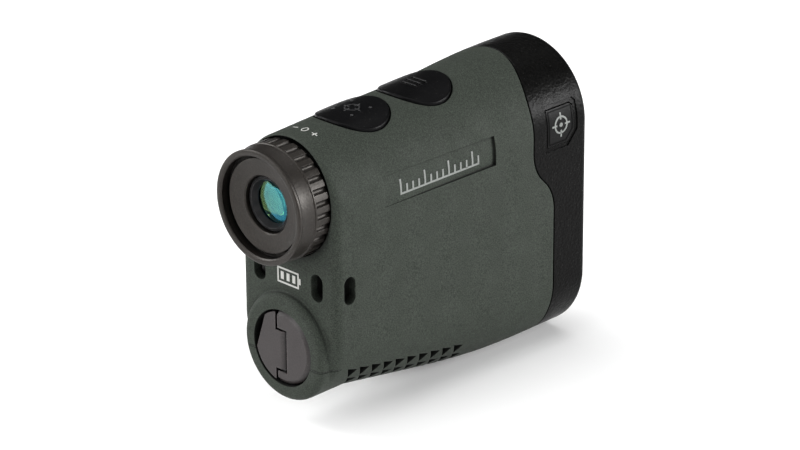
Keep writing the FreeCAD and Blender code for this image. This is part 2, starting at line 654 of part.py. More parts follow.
def ocular_cell():
    """Sliding barrel of the eyepiece, with a nose that carries the eye lens and a key slot."""
    ledge = "eye_lens_y + 2.45"
    corners = [("eye_stop", ledge), ("eye_lens + 0.1", ledge), ("eye_lens + 0.1", "nose_y + 0.3"),
               ("eye_lens + 0.25", "nose_y"), ("cell_nose", "nose_y + 0.15"), ("cell_nose", "ring_y + 0.1"),
               ("cell_half", "ring_y + 0.1"), ("cell_half", "-25"), ("7.6", "-25"), ("7.6", "-36"),
               ("eye_stop", "-36")]
    blank = turned("ocular_cell_blank", "axis_height", corners)
    slot = block("ocular_cell_slot", "-0.85", "0.85", "-32.6", "-27.9", "axis_height - cell_half - 1",
                 "axis_height - cell_half + 0.9")
    return cut("ocular_cell", blank, [slot])


def eye_lens_ring():
    """Retaining ring with a conical mouth that widens from the lens to the nose's face."""
    seat = "eye_lens_y + eye_stop ^ 2 / (2 * eye_ball) - 0.05"
    corners = [("eye_stop", seat), ("eye_stop", seat + " - 0.2"), ("eye_lens - 0.1", "nose_y + 0.05"),
               ("eye_lens + 0.05", "nose_y + 0.05"), ("eye_lens + 0.05", seat)]
    return turned("eye_lens_ring", "axis_height", corners)


def eyepiece_tube():
    """Fixed tube that guides the ocular cell; its flange bears on the chassis's rear wall."""
    corners = [("cell_half + cell_fit", "-38.4"), ("tube_half - 0.02", "-38.4"),
               ("tube_half - 0.02", "rear_y + 3.6"), ("tube_half + 0.25", "rear_y + 3.6"),
               ("tube_half + 0.25", "rear_y + 5"), ("tube_half - 0.02", "rear_y + 5"),
               ("tube_half - 0.02", "-23"), ("cell_half + cell_fit", "-23")]
    blank = turned("eyepiece_tube_blank", "axis_height", corners)
    hole = post("eyepiece_tube_hole", "0.7", "0", "-30.25", "axis_height - tube_half - 2",
                "axis_height - 8")
    return cut("eyepiece_tube", blank, [hole])


def eyepiece():
    key = post("diopter_key", "0.68", "0", "-30.25", "axis_height - tube_half - 0.3",
               "axis_height - cell_half + 0.55")
    seal = tube("eyepiece_seal", "axis_height", "tube_half - 0.02", "tube_half + 1.2", "rear_y + 1.8",
                "rear_y + 2.05")
    return [eyecup(), diopter_ring(), ocular_cell(), eyepiece_tube(), key, seal,
            lens("eye_lens_rear", "axis_height", "eye_lens", "eye_lens_y", "eye_lens_y + 2.4",
                 "eye_ball", "60"),
            lens("eye_lens_front", "axis_height", "7.55", "-35.9", "-32.2", "30", "22"),
            eye_lens_ring(),
            tube("field_stop", "axis_height", "4.5", "7.55", "-27.5", "-26.7")]


# ---------------------------------------------------------------- battery compartment

def lever_region(name, grow, start, end):
    """D-shaped plate of the lever and its knuckle, seen from behind, larger by grow."""
    hinge_side = "lever_x - knuckle_half + " + grow
    knuckle_side = "lever_x + " + grow
    corners = [("-12", "cap_height - 12"), (hinge_side, "cap_height - 12"),
               (hinge_side, "cap_height + knuckle_low - " + grow),
               (knuckle_side, "cap_height + knuckle_low - " + grow),
               (knuckle_side, "cap_height + knuckle_top + " + grow),
               (hinge_side, "cap_height + knuckle_top + " + grow),
               (hinge_side, "cap_height + 12"), ("-12", "cap_height + 12")]
    return extruded(name, FACING_Y, corners, "-(%s)" % end, "-(%s)" % start)


def knuckle(name, grow):
    barrel = post(name, "knuckle_half + " + grow, "lever_x", "cap_y + knuckle_half",
                  "cap_height + knuckle_low - " + grow, "cap_height + knuckle_top + " + grow)
    return barrel


def battery_cap():
    """Threaded cap: a round head pocketed for the lever and a spigot with an O-ring groove."""
    head_y = "cap_y + cap_depth"
    corners = [("0", "cap_y"), ("cap_half - 1.1", "cap_y"), ("cap_half", "cap_y + 0.75"),
               ("cap_half", head_y),
               ("7.7", head_y), ("7.7", head_y + " + 1.3"), ("cap_half", head_y + " + 1.3"),
               ("cap_half", head_y + " + 1.9"), ("0", head_y + " + 1.9")]
    blank = turned("battery_cap_blank", "cap_height", corners)
    pocket = lever_region("battery_cap_pocket", "lever_gap", "cap_y - 2", "cap_y + lever_thick + 0.3")
    barrel_room = knuckle("battery_cap_barrel_room", "lever_gap")
    above_barrel = block("battery_cap_barrel_mouth", "lever_x - knuckle_half",
                         "lever_x + knuckle_half + lever_gap",
                         "cap_y - 2", "cap_y + knuckle_half", "cap_height + knuckle_low - lever_gap",
                         "cap_height + knuckle_top + lever_gap")
    pin_hole = post("battery_cap_pin_hole", "pin_half", "lever_x", "cap_y + knuckle_half",
                    "cap_height - 7.6",
                    "cap_height + 7.6")
    return cut("battery_cap", blank, [pocket, barrel_room, above_barrel, pin_hole])


def along_finger_edge(out, up):
    """A point of the rear view, measured out from the lever's finger edge and up along it."""
    far = "(lever_flat + %s)" % out
    return ("%s * sin(finger_turn) - %s * cos(finger_turn)" % (up, far),
            "cap_height + %s * cos(finger_turn) + %s * sin(finger_turn)" % (up, far))


def cap_lever():
    plate = disc("cap_lever_disc", "cap_height", "cap_half - 0.2", "cap_y", "cap_y + lever_thick")
    region = lever_region("cap_lever_region", "0", "cap_y - 1", "cap_y + 3")
    leaf = joined("cap_lever_leaf", "MultiCommon", [plate, region])
    solid = joined("cap_lever_solid", "MultiFuse", [leaf, knuckle("cap_lever_barrel", "0")])
    hole = post("cap_lever_hole", "pin_half + pin_fit", "lever_x", "cap_y + knuckle_half", "cap_height - 9",
                "cap_height + 9")
    edge = [along_finger_edge(out, up) for out, up in (("0", "-9"), ("9", "-9"), ("9", "9"), ("0", "9"))]
    finger = extruded("cap_lever_finger", FACING_Y, edge, "-(cap_y + 3)", "-(cap_y - 1)")
    swing = [post("cap_lever_swing_" + place, "knuckle_half + lever_relief", "lever_x",
                  "cap_y + knuckle_half",
                  low, high)
             for place, low, high in (("over", "cap_height + knuckle_top", "cap_height + 12"),
                                      ("under", "cap_height - 12", "cap_height + knuckle_low"))]
    return cut("cap_lever", solid, [hole, finger] + swing)


def leaf_spring():
    """Bent strip that presses on the cell's button: a foot on the contact, an arm and a curled tip."""
    foot = "battery_contact_y - 0.05"
    back = "(" + foot + " - leaf_thick)"
    corners = [(foot, "cap_height - 4.6"), (foot, "cap_height - 1.4"),
               ("battery_end + 0.65", "cap_height + 1.45"),
               ("battery_end + 1.2", "cap_height + 2.8"), ("battery_end + 0.9", "cap_height + 2.95"),
               ("battery_end + 0.3", "cap_height + 1.4"), (back, "cap_height - 1.5"),
               (back, "cap_height - 4.6")]
    return extruded("battery_spring", FACING_X, corners, "-2", "2")


def battery_bay():
    groove_y = "cap_y + cap_depth"
    pin = post("lever_pin", "pin_half", "lever_x", "cap_y + knuckle_half", "cap_height - 7.5",
               "cap_height + 7.5")
    return [battery_cap(), cap_lever(), pin,
            tube("cap_seal", "cap_height", "7.78", "cap_opening - 0.06", groove_y + " + 0.1",
                 groove_y + " + 1.2"),
            disc("cap_contact", "cap_height", "3.2", "cap_y + cap_depth + 1.9", "cap_y + cap_depth + 2.5"),
            tube("battery_tube", "cap_height", "battery_half + 0.3", "cap_opening", "battery_y - 1", "1"),
            battery_cell(), leaf_spring(),
            disc("battery_contact", "cap_height", "battery_half", "battery_contact_y",
                 "battery_contact_y + 0.4")]


def battery_cell():
    """CR2 cell with its raised positive button."""
    corners = [("0", "battery_y"), ("battery_half - 0.4", "battery_y"), ("battery_half", "battery_y + 0.4"),
               ("battery_half", "battery_end - 1.4"), ("3.2", "battery_end - 1.4"),
               ("3.2", "battery_end"), ("0", "battery_end")]
    return turned("battery", "cap_height", corners)


# ---------------------------------------------------------------- buttons

def upper_rim(edge):
    """True for the closed edge round the top of a button."""
    return edge.Length > 4 * size("button_half") and edge.BoundBox.ZMax > size("grip_top") - 0.1


def button(name, centre_y, marks):
    """Round key that follows the curve of the roof, with a skirt, a stem and raised marks."""
    column = post(name + "_column", "button_half", "0", centre_y, "60", "80")
    crown = hull(name + "_crown", "-button_proud", "rear_y", "front_y")
    top = joined(name + "_top", "MultiCommon", [column, crown])
    skin = cut(name + "_skin", top, [hull(name + "_under", "button_under", "rear_y", "front_y")])
    soft = rounded(name + "_soft", skin, upper_rim, "button_round")
    stem = post(name + "_stem", "stem_half", "0", centre_y, "stem_low", "grip_top - button_under + 0.4")
    return joined(name, "MultiFuse", [soft, stem] + marks)


def roof_over(x, y):
    """Height of a button's crown at x, y."""
    share = "((%s) - heel_y) / (waist_y - heel_y)" % y
    top = "(heel_top + (waist_top - heel_top) * %s)" % share
    return "%s - %s + sqrt((%s + button_proud) ^ 2 - (%s) ^ 2)" % (top, half_width(y), half_width(y), x)


def measure_button():
    """Four tactile bumps round a raised ring."""
    marks = []
    for index, (across, along) in enumerate(((1, 1), (1, -1), (-1, 1), (-1, -1))):
        x, y = "%d * bump_step" % across, "(measure_y + %d * bump_step)" % along
        bump = doc.addObject("Part::Sphere", "measure_bump_%d" % index)
        marks.append(bind(bump, Radius="bump_half", x=x, y=y, z=roof_over(x, y) + " - 0.35"))
    return button("measure_button", "measure_y", marks)


def menu_button():
    """Three short raised bars."""
    marks = []
    for index in (-1, 0, 1):
        y = "(menu_y + %d * 1.7)" % index
        high = roof_over("2.3", y)
        marks.append(block("menu_bar_%d" % (index + 1), "-2.3", "2.3", y + " - 0.3", y + " + 0.3",
                           high + " - 0.6", high + " + 0.28"))
    return button("menu_button", "menu_y", marks)


def button_gear():
    board_top = "button_board_z + board_thick"
    washers, domes = [], []
    for name, y in (("measure", "measure_y"), ("menu", "menu_y")):
        washer = cut(name + "_washer", post(name + "_washer_disc", "4.2", "0", y, "66.5", "67.3"),
                     [post(name + "_washer_hole", "stem_half + 0.1", "0", y, "66", "68")])
        dome = doc.addObject("Part::Cone", name + "_dome")
        bind(dome, Radius1="2.8", Radius2="1.2", Height="0.7", y=y, z=board_top)
        washers.append(washer)
        domes.append(dome)
    board = block("button_board", "-7", "7", "-22.4", "13", "button_board_z", board_top)
    return [board, group("dome_switches", domes), group("button_seals", washers)]


def group(name, pieces):
    """Separate solids kept together in one node."""
    result = doc.addObject("Part::Compound", name)
    result.Links = pieces
    return result


# ---------------------------------------------------------------- optics and electronics

def prism(name, corners, half_wide):
    """Glass prism: outline in the side view, pushed across X."""
    return side_outline(name, corners, "-" + half_wide, half_wide)


def prism_optics():
    """Roof prism and its partner in an open box, on the optical axis."""
    box = block("prism_box_blank", "-9", "9", "-14", "12", "45.6", "62.4")
    room = block("prism_box_room", "-7.6", "7.6", "-12.6", "10.6", "46.8", "64")
    bores = [disc("prism_box_bore", "axis_height", "6.2", "-16", "14"),
             post("prism_box_window", "2.6", "0", "-2", "44", "48")]
    holder = cut("prism_box", box, [room] + bores)
    roof = prism("roof_prism", [("-11.6", "47"), ("-1.2", "47"), ("-1.2", "62.2"), ("-6", "62.2"),
                                ("-11.6", "55.4")], "7.4")
    partner = prism("erecting_prism", [("-0.4", "47"), ("9.8", "47"), ("9.8", "57.2"), ("4.8", "62.2"),
                                       ("-0.4", "62.2")], "7.4")
    return [holder, roof, partner]


def lens_cell(name, height, inner, outer, rear, ledge, front):
    """Tube with an inner ledge that its lens stands on."""
    corners = [(inner + " - 1", rear), (outer, rear), (outer, front), (inner, front), (inner, ledge),
               (inner + " - 1", ledge)]
    return turned(name, height, corners)


def front_optics():
    wall = "front_y - face_recess - face_wall"
    back = wall + " - 0.5"
    laser_end = "15"
    gaskets = [tube("objective_gasket", "axis_height", "objective_half + 0.02", "objective_tube", back,
                    wall),
               tube("emitter_gasket", "emitter_height", "emitter_half + 0.02", "emitter_tube", back, wall)]
    return [lens_cell("objective_cell", "axis_height", "objective_half", "objective_tube", "26", "33",
                      back),
            lens("objective_lens", "axis_height", "objective_half - 0.03", "37.8", "41.6", "90", "38"),
            lens("objective_doublet", "axis_height", "objective_half - 0.03", "33.1", "37.2", "70", "60"),
            tube("objective_ring", "axis_height", "objective_stop", "objective_half - 0.03", "41.8",
                 "front_y - 2.3"),
            lens_cell("emitter_cell", "emitter_height", "emitter_half", "emitter_tube", laser_end, "38",
                      back),
            lens("emitter_lens", "emitter_height", "emitter_half - 0.03", "38.1", "41.6", "60", "26"),
            tube("emitter_ring", "emitter_height", "emitter_stop", "emitter_half - 0.03", "41.8",
                 "front_y - 2.3"),
            group("lens_gaskets", gaskets)]


def electronics():
    board_x = "10.7"
    board = block("main_board", board_x, board_x + " + board_thick", "1.4", "28", "16", "44")
    chips = [block("processor", board_x + " + board_thick", board_x + " + board_thick + 1", "3", "13",
                   "24", "34"),
             block("memory", board_x + " + board_thick", board_x + " + board_thick + 0.8", "15", "22",
                   "22", "27"),
             block("regulator", board_x + " + board_thick", board_x + " + board_thick + 0.9", "16", "20",
                   "33", "38")]
    display = cut("display_module", block("display_blank", "-7", "7", "-17.2", "-15.4", "50", "63"),
                  [disc("display_window", "axis_height", "5", "-18", "-15")])
    diode = disc("laser_diode", "emitter_height", "2.8", "10.6", "14.2")
    mount = cut("laser_mount", disc("laser_mount_disc", "emitter_height", "emitter_tube", "12", "15"),
                [disc("laser_mount_bore", "emitter_height", "2.85", "10", "14.4"),
                 disc("laser_mount_pinhole", "emitter_height", "1.6", "14", "16")])
    receiver = post("receiver_diode", "2.4", "0", "-2", "40.9", "45.4")
    receiver_board = block("receiver_board", "-6", "6", "-8", "6", "40.1", "40.9")
    ribbon = extruded("ribbon_cable", FACING_Y,
                      [("6.5", "63.64"), ("8.3", "63.64"), ("9.55", "62.2"), ("10.3", "59.5"),
                       ("10.3", "40"),
                       ("10.66", "40"), ("10.66", "59.6"), ("9.9", "62.4"), ("8.45", "63.98"),
                       ("6.5", "63.98")], "2.5", "10.5")
    return [board, group("board_chips", chips), display, diode, mount, receiver, receiver_board, ribbon]


parts = [armour(), chassis(), front_bezel()]
badge_right = badge("badge_right")
parts += [badge_right, mirrored("badge_left", badge_right), slotted_screws()]
parts += eyepiece() + battery_bay() + [measure_button(), menu_button()] + button_gear()
parts += prism_optics() + front_optics() + electronics()


doc.recompute()
failed = [item.Label for item in doc.Objects if {"Invalid", "Error"} & set(item.State)]
failed += [part.Label for part in parts if part.Shape.isNull() or not part.Shape.isValid()]
if failed:
    raise RuntimeError("these did not build: " + ", ".join(failed))

os.makedirs("parts", exist_ok=True)
for part in parts:
    part.Shape.exportStep("parts/%s.step" % part.Label)
print("%d sub-parts written" % len(parts))
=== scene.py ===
"""Looks of a compact laser rangefinder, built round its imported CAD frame.

Units are metres in the frame's own axes: +Z up, +Y the line of sight, +X the user's right.
Sizes written below are in millimetres and are turned into metres by MM.
"""
import math

import bpy
from mathutils import Matrix, Vector


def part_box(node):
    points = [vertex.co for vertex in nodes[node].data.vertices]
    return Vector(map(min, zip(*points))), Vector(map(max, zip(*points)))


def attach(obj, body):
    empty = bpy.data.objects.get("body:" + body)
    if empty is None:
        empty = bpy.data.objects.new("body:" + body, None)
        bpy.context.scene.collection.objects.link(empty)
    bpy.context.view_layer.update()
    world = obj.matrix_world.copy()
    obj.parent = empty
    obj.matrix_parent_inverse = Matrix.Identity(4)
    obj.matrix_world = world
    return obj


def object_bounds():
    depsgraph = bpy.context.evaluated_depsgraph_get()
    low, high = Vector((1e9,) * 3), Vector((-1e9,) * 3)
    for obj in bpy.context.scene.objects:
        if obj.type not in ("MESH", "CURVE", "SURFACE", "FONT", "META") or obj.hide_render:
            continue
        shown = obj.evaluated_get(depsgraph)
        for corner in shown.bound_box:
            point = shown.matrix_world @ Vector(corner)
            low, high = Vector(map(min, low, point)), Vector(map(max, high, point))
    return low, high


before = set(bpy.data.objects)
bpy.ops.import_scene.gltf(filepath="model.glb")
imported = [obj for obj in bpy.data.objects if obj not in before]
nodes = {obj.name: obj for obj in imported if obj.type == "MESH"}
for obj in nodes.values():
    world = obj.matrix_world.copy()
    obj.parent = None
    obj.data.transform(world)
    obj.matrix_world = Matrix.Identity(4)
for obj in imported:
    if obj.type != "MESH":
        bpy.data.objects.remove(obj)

MM = 0.001
cad_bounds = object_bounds()


# ---------------------------------------------------------------- camera, floor and light

CAMERA_TURN = math.radians(44.62)
CAMERA_RISE = math.radians(23.18)
CAMERA_ROLL = math.radians(-0.395)
CAMERA_REACH = 850 * MM
CAMERA_TARGET = Vector((-0.36, 0.25, 38.07)) * MM
LENS_LONG = 162.6
FLOOR_GAP = 0.02 * MM


def add_camera():
    """Long lens behind, to the right of and above the object."""
    back = Vector((math.sin(CAMERA_TURN) * math.cos(CAMERA_RISE),
                   -math.cos(CAMERA_TURN) * math.cos(CAMERA_RISE), math.sin(CAMERA_RISE)))
    level = Vector((math.cos(CAMERA_TURN), math.sin(CAMERA_TURN), 0))
    upright = back.cross(level)
    across = level * math.cos(CAMERA_ROLL) + upright * math.sin(CAMERA_ROLL)
    up = upright * math.cos(CAMERA_ROLL) - level * math.sin(CAMERA_ROLL)
    data = bpy.data.cameras.new("camera")
    data.lens = LENS_LONG
    data.sensor_width = 36
    data.clip_start = 0.01
    data.clip_end = 50
    camera = bpy.data.objects.new("camera", data)
    bpy.context.scene.collection.objects.link(camera)
    place = Matrix((across, up, back)).transposed().to_4x4()
    place.translation = CAMERA_TARGET + back * CAMERA_REACH
    camera.matrix_world = place
    bpy.context.scene.camera = camera


def soft_light(name, place, size, watts, aim=(0, 0, 0.035)):
    """Square softbox at place, turned towards aim."""
    data = bpy.data.lights.new(name, "AREA")
    data.shape = "RECTANGLE"
    data.size, data.size_y = size
    data.energy = watts
    light = bpy.data.objects.new(name, data)
    bpy.context.scene.collection.objects.link(light)
    place, aim = Vector(place), Vector(aim)
    turn = (place - aim).to_track_quat("Z", "Y").to_matrix().to_4x4()
    light.matrix_world = Matrix.Translation(place) @ turn


def add_world(strength):
    world = bpy.data.worlds.new("studio")
    world.use_nodes = True
    background = world.node_tree.nodes["Background"]
    background.inputs["Color"].default_value = (1, 1, 1, 1)
    background.inputs["Strength"].default_value = strength
    bpy.context.scene.world = world


def add_floor():
    half = 4.0
    mesh = bpy.data.meshes.new("floor")
    corners = [(-half, -half, 0), (half, -half, 0), (half, half, 0), (-half, half, 0)]
    mesh.from_pydata(corners, [], [(0, 1, 2, 3)])
    floor = bpy.data.objects.new("floor", mesh)
    bpy.context.scene.collection.objects.link(floor)
    floor.location.z = cad_bounds[0][2] - FLOOR_GAP
    look = Look("floor_paper", base=(0.97, 0.97, 0.97), rough=0.8, specular=0.2)
    look.grain(look.noise(0.6, 3), 0.05, 0.05)
    mesh.materials.append(look.material)


# ---------------------------------------------------------------- materials

GLASS_INDEX = 1.52
COATING_INDEX = 1.95
COATING_THICK = 180     # nanometres
COATING_TINT = (0.55, 1.0, 0.80, 1)
OPEN_SHARE = 0.85       # a surface that sees this much of its surroundings counts as open
LIGHT_SPECK = 2.0       # brightness of the grain's specks, worn edges that are partly painted highlight and gaps darkened as painted shade, as shares of the base colour
DARK_SPECK = 0.3        # the base colour
WORN_LIT_EDGE = 2.6
GAP_SHADE = 0.05
DUST = (0.30, 0.30, 0.28)
BARE_METAL = (0.16, 0.16, 0.16)


class Look:
    """A procedural material on the object's own coordinates, in millimetres."""

    def __init__(self, name, base, rough, specular=0.5, metallic=0.0, **others):
        self.material = bpy.data.materials.new(name)
        self.material.use_nodes = True
        self.tree = self.material.node_tree
        self.surface = self.tree.nodes["Principled BSDF"]
        self.set("Base Color", (*base, 1))
        self.set("Roughness", rough)
        self.set("Specular IOR Level", specular)
        self.set("Metallic", metallic)
        for socket, value in others.items():
            self.set(socket.replace("_", " ").title().replace("Ior", "IOR"), value)
        place = self.node("ShaderNodeTexCoord")
        scale = self.node("ShaderNodeVectorMath", operation="SCALE")
        scale.inputs["Scale"].default_value = 1 / MM
        self.link(place.outputs["Object"], scale.inputs[0])
        self.place = scale.outputs[0]
        self.normal = None

    def set(self, socket, value):
        self.surface.inputs[socket].default_value = value

    def node(self, kind, **settings):
        node = self.tree.nodes.new(kind)
        for name, value in settings.items():
            setattr(node, name, value)
        return node

    def link(self, source, target):
        self.tree.links.new(source, target)

    def feed(self, node, socket, value):
        """Link an output, or set a constant."""
        if isinstance(value, bpy.types.NodeSocket):
            self.link(value, node.inputs[socket])
        else:
            node.inputs[socket].default_value = value

    def noise(self, size, detail=2, place=None, roughness=0.55):
        """Noise whose features are about size mm across."""
        node = self.node("ShaderNodeTexNoise")
        self.link(place or self.place, node.inputs["Vector"])
        node.inputs["Scale"].default_value = 1 / size
        node.inputs["Detail"].default_value = detail
        node.inputs["Roughness"].default_value = roughness
        return node.outputs["Fac"]

    def cells(self, size, feature="SMOOTH_F1"):
        """Pebbled cells about size mm across."""
        node = self.node("ShaderNodeTexVoronoi", feature=feature)
        self.link(self.place, node.inputs["Vector"])
        node.inputs["Scale"].default_value = 1 / size
        return node.outputs["Distance"]

    def math(self, operation, *values):
        node = self.node("ShaderNodeMath", operation=operation)
        for index, value in enumerate(values):
            self.feed(node, index, value)
        return node.outputs[0]

    def range(self, value, low, high, start=0.0, end=1.0):
        """Map low..high to start..end, clamped."""
        node = self.node("ShaderNodeMapRange")
        self.feed(node, "Value", value)
        limits = {"From Min": low, "From Max": high, "To Min": start, "To Max": end}
        for socket, number in limits.items():
            node.inputs[socket].default_value = number
        return node.outputs[0]

    def mix(self, share, first, second):
        """Colour between two colours."""
        node = self.node("ShaderNodeMix", data_type="RGBA")
        self.feed(node, 0, share)
        for socket, colour in ((6, first), (7, second)):
            self.feed(node, socket, (*colour, 1) if isinstance(colour, tuple) else colour)
        return node.outputs[2]

    def axis(self, name):
        """One coordinate, in mm."""
        node = self.node("ShaderNodeSeparateXYZ")
        self.link(self.place, node.inputs[0])
        return node.outputs[name]

    def stretched(self, x, y, z):
        """The coordinates scaled differently along each axis."""
        node = self.node("ShaderNodeVectorMath", operation="MULTIPLY")
        self.link(self.place, node.inputs[0])
        node.inputs[1].default_value = (x, y, z)
        return node.outputs[0]

    def soft_edges(self, radius):
        """Round every sharp edge by radius mm, for light only."""
        bevel = self.node("ShaderNodeBevel", samples=4)
        bevel.inputs["Radius"].default_value = radius * MM
        self.normal = bevel.outputs["Normal"]
        return self.normal

    def edge_mask(self, radius):
        """1 along convex and concave edges, 0 on open faces."""
        bevel = self.node("ShaderNodeBevel", samples=4)
        bevel.inputs["Radius"].default_value = radius * MM
        geometry = self.node("ShaderNodeNewGeometry")
        dot = self.node("ShaderNodeVectorMath", operation="DOT_PRODUCT")
        self.link(bevel.outputs["Normal"], dot.inputs[0])
        self.link(geometry.outputs["Normal"], dot.inputs[1])
        return self.range(dot.outputs["Value"], 0.995, 0.85)

    def hollows(self, reach, deep):
        """Mask for painted shade: 0 in gaps narrower than about reach mm that see less than deep of the
        outside, 1 in the open.
        """
        shade = self.node("ShaderNodeAmbientOcclusion", samples=8, only_local=False)
        shade.inputs["Distance"].default_value = reach * MM
        return self.range(shade.outputs["AO"], deep, OPEN_SHARE)

    def grain(self, height, strength, depth):
        """Add relief from a 0..1 height; depth is in mm."""
        bump = self.node("ShaderNodeBump")
        bump.inputs["Strength"].default_value = strength
        bump.inputs["Distance"].default_value = depth * MM
        self.link(height, bump.inputs["Height"])
        if self.normal is not None:
            self.link(self.normal, bump.inputs["Normal"])
        self.normal = bump.outputs["Normal"]
        self.link(self.normal, self.surface.inputs["Normal"])

    def colour(self, output):
        self.link(output, self.surface.inputs["Base Color"])

    def roughness(self, output):
        self.link(output, self.surface.inputs["Roughness"])


def tint(colour, share):
    return tuple(channel * share for channel in colour)


def moulded(name, base, rough, pebble, depth, edge=0.12, edge_wear_and_highlight=0.25, speckle=0.3, shade_reach=2.0, deep=0.25,
             **others):
    """Moulded plastic or rubber: pebbled grain, cloudy colour, patchy gloss, worn edges made lighter
    (partly painted highlight) and painted shade darkening gaps.
    """
    look = Look(name, base, rough, **others)
    cloud = look.noise(9, 4)
    fine = look.noise(pebble * 0.6, 2)
    shade = look.mix(look.range(cloud, 0.3, 0.7), tint(base, 0.92), tint(base, 1.08))
    shade = look.mix(look.range(fine, 0.50, 0.68, 0, speckle), shade, tint(base, LIGHT_SPECK))
    shade = look.mix(look.range(fine, 0.50, 0.34, 0, speckle), shade, tint(base, DARK_SPECK))
    dust = look.range(look.noise(0.35, 1), 0.70, 0.78, 0, 0.10)
    shade = look.mix(dust, shade, DUST)
    # Lightened worn edges: partly real scuffing, partly painted highlight along the edges.
    edge_patches = look.range(look.noise(2.2, 4), 0.42, 0.66, 0, edge_wear_and_highlight)
    worn_lit_edges = look.math("MULTIPLY", look.edge_mask(edge * 2.5), edge_patches)
    shade = look.mix(worn_lit_edges, shade, tint(base, WORN_LIT_EDGE))
    # Painted shade: the base colour goes near black in gaps, slots and recesses that ambient occlusion
    # finds.
    look.colour(look.mix(look.hollows(shade_reach, deep), tint(base, GAP_SHADE), shade))
    patchy = look.range(look.noise(5, 5), 0.3, 0.7, rough - 0.06, rough + 0.06)
    look.roughness(look.math("SUBTRACT", patchy, look.math("MULTIPLY", worn_lit_edges, 0.3)))
    look.soft_edges(edge)
    look.grain(look.math("ADD", look.math("MULTIPLY", look.cells(pebble), 0.7),
                         look.math("MULTIPLY", fine, 0.5)), 1.0, depth)
    return look


def armour_look():
    """Soft-touch paint with a fine leather grain and the boss's mould line."""
    # Painted shade darkens its slots, notches and grooves strongly.
    look = moulded("armour_soft_touch", (0.0238, 0.0291, 0.0229), 0.74, pebble=0.45, depth=0.03,
                   edge=0.25, edge_wear_and_highlight=0.15, speckle=0.6, shade_reach=4.0, deep=0.45, specular=0.2)
    line_height, line_start, line_full = 16.9, -33.9, -34.3
    height = look.math("ABSOLUTE", look.math("SUBTRACT", look.axis("Z"), line_height))
    behind = look.range(look.axis("Y"), line_start, line_full)
    low = look.math("MULTIPLY", look.range(height, 0.05, 0.3, 1, 0), behind)
    look.grain(look.math("SUBTRACT", 1.0, low), 1.0, 0.8)
    return look


def brushed(name, base, rough, **others):
    """Turned or drawn metal: fine lines round Y, with stains and bright edges."""
    look = Look(name, base, rough, metallic=1.0, **others)
    lines = look.noise(0.16, 3, look.stretched(0.06, 1, 0.06))
    stain = look.noise(3.5, 4)
    look.colour(look.mix(look.range(stain, 0.35, 0.7), tint(base, 0.82), base))
    look.roughness(look.range(lines, 0.3, 0.7, rough - 0.08, rough + 0.1))
    look.soft_edges(0.08)
    look.grain(lines, 0.6, 0.01)
    return look


def anodised(name):
    """Black anodised metal with fine turned rings."""
    base = (0.007, 0.007, 0.0075)
    look = Look(name, base, 0.38, specular=0.25, metallic=0.0)
    rings = look.noise(0.22, 2, look.stretched(0.05, 1, 0.05))
    edge_patches = look.range(look.noise(1.2, 3), 0.45, 0.65, 0, 0.6)
    edges = look.math("MULTIPLY", look.edge_mask(0.15), edge_patches)
    shade = look.mix(look.range(look.noise(4, 3), 0.3, 0.7), tint(base, 0.8), tint(base, 1.4))
    look.colour(look.mix(edges, shade, BARE_METAL))
    look.roughness(look.range(rings, 0.3, 0.7, 0.3, 0.46))
    look.soft_edges(0.08)
    look.grain(rings, 0.7, 0.012)
    return look


def glass(name, base, film):
    """Optical glass; film is the coating's thickness in nanometres, 0 for none."""
    look = Look(name, base, 0.02, transmission_weight=1.0, ior=GLASS_INDEX)
    if film:
        look.set("Thin Film Thickness", film)
        look.set("Thin Film IOR", COATING_INDEX)
        look.set("Specular Tint", COATING_TINT)
    smear = look.noise(4, 3)
    look.roughness(look.range(smear, 0.4, 0.7, 0.01, 0.04))
    look.grain(smear, 0.02, 0.005)
    return look


def board_look():
    """Green circuit board with traces and tinned pads."""
    mask, copper, tin = (0.01, 0.09, 0.03), (0.02, 0.17, 0.06), (0.5, 0.48, 0.42)
    look = Look("circuit_board", mask, 0.4)
    brick = look.node("ShaderNodeTexBrick")
    look.link(look.place, brick.inputs["Vector"])
    brick.inputs["Scale"].default_value = 0.6
    brick.inputs["Mortar Size"].default_value = 0.03
    traces = brick.outputs["Fac"]
    pads = look.range(look.cells(1.6, "F1"), 0.16, 0.2, 1, 0)
    shade = look.mix(traces, mask, copper)
    look.colour(look.mix(pads, shade, tin))
    look.roughness(look.range(look.noise(2, 3), 0.3, 0.7, 0.32, 0.5))
    look.grain(look.math("ADD", traces, pads), 0.8, 0.03)
    return look


def wrap_look():
    """Battery sleeve: dark film with a copper-coloured band, and shrink wrinkles."""
    dark, copper, scuff, band_start = (0.02, 0.02, 0.025), (0.42, 0.20, 0.08), (0.25, 0.25, 0.25), -12
    look = Look("battery_sleeve", dark, 0.3, specular=0.6)
    band = look.math("GREATER_THAN", look.axis("Y"), band_start)
    shade = look.mix(band, dark, copper)
    look.colour(look.mix(look.range(look.noise(1.5, 4), 0.55, 0.75, 0, 0.3), shade, scuff))
    look.roughness(look.range(look.noise(3, 3), 0.3, 0.7, 0.2, 0.38))
    look.grain(look.noise(2.5, 3, look.stretched(1, 0.2, 1)), 0.5, 0.05)
    return look


def film_look():
    """Amber polyimide flex with copper tracks showing through."""
    look = Look("flex_film", (0.45, 0.18, 0.03), 0.28, specular=0.6)
    stripe = look.node("ShaderNodeTexWave", wave_type="BANDS", bands_direction="Y")
    look.link(look.place, stripe.inputs["Vector"])
    stripe.inputs["Scale"].default_value = 0.45
    amber, copper = (0.50, 0.20, 0.035), (0.62, 0.30, 0.08)
    look.colour(look.mix(stripe.outputs["Fac"], amber, copper))
    look.roughness(look.range(look.noise(1.5, 3), 0.3, 0.7, 0.2, 0.36))
    look.grain(stripe.outputs["Fac"], 0.6, 0.03)
    return look


